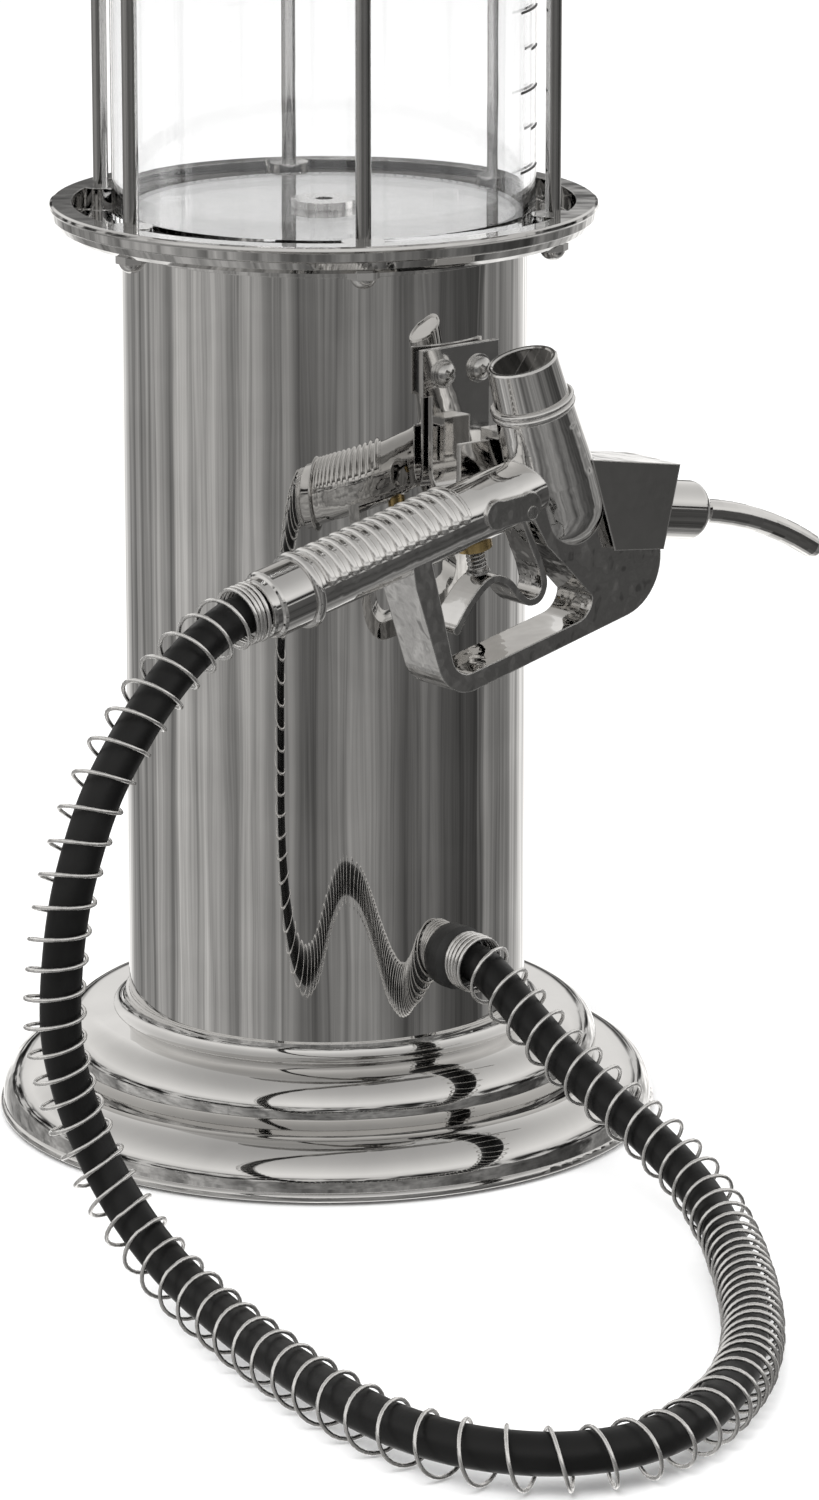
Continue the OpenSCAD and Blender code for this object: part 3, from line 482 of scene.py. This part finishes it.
def make_world():
    """White for the camera; reflections see a room with upright bands, a dark skyline and a pale ceiling."""
    world = bpy.data.worlds.new("room")
    bpy.context.scene.world = world
    world.use_nodes = True
    nodes, links = world.node_tree.nodes, world.node_tree.links
    nodes.clear()

    def node(kind, **values):
        made = nodes.new(kind)
        for key, value in values.items():
            setattr(made, key, value)
        return made

    def math_node(operation, a, b=None, clamp=False):
        made = node("ShaderNodeMath", operation=operation, use_clamp=clamp)
        for socket, value in zip(made.inputs, (a, b)):
            if value is None:
                continue
            if isinstance(value, (int, float)):
                socket.default_value = value
            else:
                links.new(value, socket)
        return made.outputs[0]

    def ramp(value, stops):
        made = node("ShaderNodeValToRGB")
        elements = made.color_ramp.elements
        while len(elements) < len(stops):
            elements.new(1)
        for element, (at, tone) in zip(elements, stops):
            element.position = at
            element.color = (*grey(tone), 1)
        links.new(value, made.inputs["Fac"])
        return made.outputs["Color"]

    def mix(share, a, b):
        made = node("ShaderNodeMix", data_type="RGBA")
        links.new(share, made.inputs["Factor"])
        for socket, value in ((made.inputs["A"], a), (made.inputs["B"], b)):
            links.new(value, socket)
        return made.outputs["Result"]

    direction = node("ShaderNodeTexCoord").outputs["Generated"]
    split = node("ShaderNodeSeparateXYZ")
    links.new(direction, split.inputs[0])
    x, y, z = split.outputs
    back = Vector((-CAMERA_AHEAD.x, -CAMERA_AHEAD.y)).normalized()
    to_right = math_node("ADD", math_node("MULTIPLY", x, -back.y), math_node("MULTIPLY", y, back.x))
    to_camera = math_node("ADD", math_node("MULTIPLY", x, back.x), math_node("MULTIPLY", y, back.y))
    turn = math_node("ARCTAN2", to_right, to_camera)
    share = math_node("ADD", math_node("MULTIPLY", turn, 1 / (2 * math.pi)), 0.5)

    streak_at = node("ShaderNodeCombineXYZ")
    links.new(math_node("MULTIPLY", share, 64), streak_at.inputs[0])
    links.new(math_node("MULTIPLY", z, 5), streak_at.inputs[1])
    streaks = node("ShaderNodeTexNoise")
    streaks.inputs["Scale"].default_value = 1.0
    streaks.inputs["Detail"].default_value = 8.0
    streaks.inputs["Roughness"].default_value = 0.65
    links.new(streak_at.outputs[0], streaks.inputs["Vector"])
    jitter = math_node("MULTIPLY", math_node("SUBTRACT", streaks.outputs["Fac"], 0.5), 0.03)
    stops = [((angle + 180) / 360, ROOM_BRIGHTNESS * to_linear(tone)) for angle, tone in ROOM_BANDS]
    bands = ramp(math_node("ADD", share, jitter), stops)
    shade = math_node("MULTIPLY_ADD", streaks.outputs["Fac"], STREAK_CONTRAST)
    shade.node.inputs[2].default_value = 1 - STREAK_CONTRAST / 2
    table = node("ShaderNodeVectorMath", operation="SCALE")
    links.new(bands, table.inputs[0])
    links.new(shade, table.inputs["Scale"])

    clutter_at = node("ShaderNodeCombineXYZ")
    links.new(math_node("MULTIPLY", share, 26), clutter_at.inputs[0])
    links.new(math_node("MULTIPLY", z, 12), clutter_at.inputs[1])
    clutter = node("ShaderNodeTexNoise")
    clutter.inputs["Scale"].default_value = 1.0
    clutter.inputs["Detail"].default_value = 3.0
    links.new(clutter_at.outputs[0], clutter.inputs["Vector"])
    skyline = ramp(clutter.outputs["Fac"], [(0.40, 0.015), (0.50, 0.12), (0.56, 0.75)])
    ceiling = ramp(z, [(0.10, 0.80), (0.35, 1.05), (0.80, 0.62), (1.0, 0.50)])

    above_skyline = math_node("MULTIPLY", math_node("SUBTRACT", z, 0.16), 14, clamp=True)
    above_table = math_node("MULTIPLY", math_node("ADD", z, 0.03), 30, clamp=True)
    room = mix(above_table, table.outputs[0], mix(above_skyline, skyline, ceiling))

    path = node("ShaderNodeLightPath")
    mirrored = math_node("MULTIPLY", path.outputs["Is Glossy Ray"], path.outputs["Is Reflection Ray"])
    white = node("ShaderNodeRGB")
    white.outputs[0].default_value = (1, 1, 1, 1)
    shown = node("ShaderNodeBackground")
    links.new(mix(mirrored, white.outputs[0], room), shown.inputs["Color"])
    output = node("ShaderNodeOutputWorld")
    links.new(shown.outputs[0], output.inputs["Surface"])


def make_light(name, at, size, power):
    """An area light, unseen in reflections, that faces the middle of the column."""
    data = bpy.data.lights.new(name, "AREA")
    data.shape = "RECTANGLE"
    data.size, data.size_y = size
    data.energy = power
    light = bpy.data.objects.new(name, data)
    light.location = at
    light.rotation_euler = (Vector(COLUMN_MIDDLE) - Vector(at)).to_track_quat("-Z", "Y").to_euler()
    light.visible_glossy = False
    light.visible_camera = False
    bpy.context.scene.collection.objects.link(light)


def make_floor():
    size = 6.0
    edge = [(-size, -size, 0), (size, -size, 0), (size, size, 0), (-size, size, 0)]
    floor = mesh_object("floor", edge, [(0, 1, 2, 3)], False)
    shader = Shader("floor")
    mottle = shader.noise(3, 3)
    shader.colour(shader.colours(mottle, [(0.3, (0.93, 0.93, 0.93)), (0.7, (0.95, 0.95, 0.95))]))
    shader.set(Roughness=0.9, Specular_IOR_Level=0.0)
    floor.data.materials.append(shader.material)
    floor.visible_glossy = False


make_camera()
MATERIALS = make_materials()
make_hose(MATERIALS)
make_guard_spring(MATERIALS)
make_valve_spring(MATERIALS)
dress_nodes(MATERIALS)
make_world()
make_floor()
make_light("key_light", (-1.2, -0.6, 1.8), (1.4, 1.4), 30)
make_light("fill_light", (1.6, -0.8, 1.2), (1.2, 1.6), 14)
bpy.context.scene.view_settings.view_transform = "Standard"
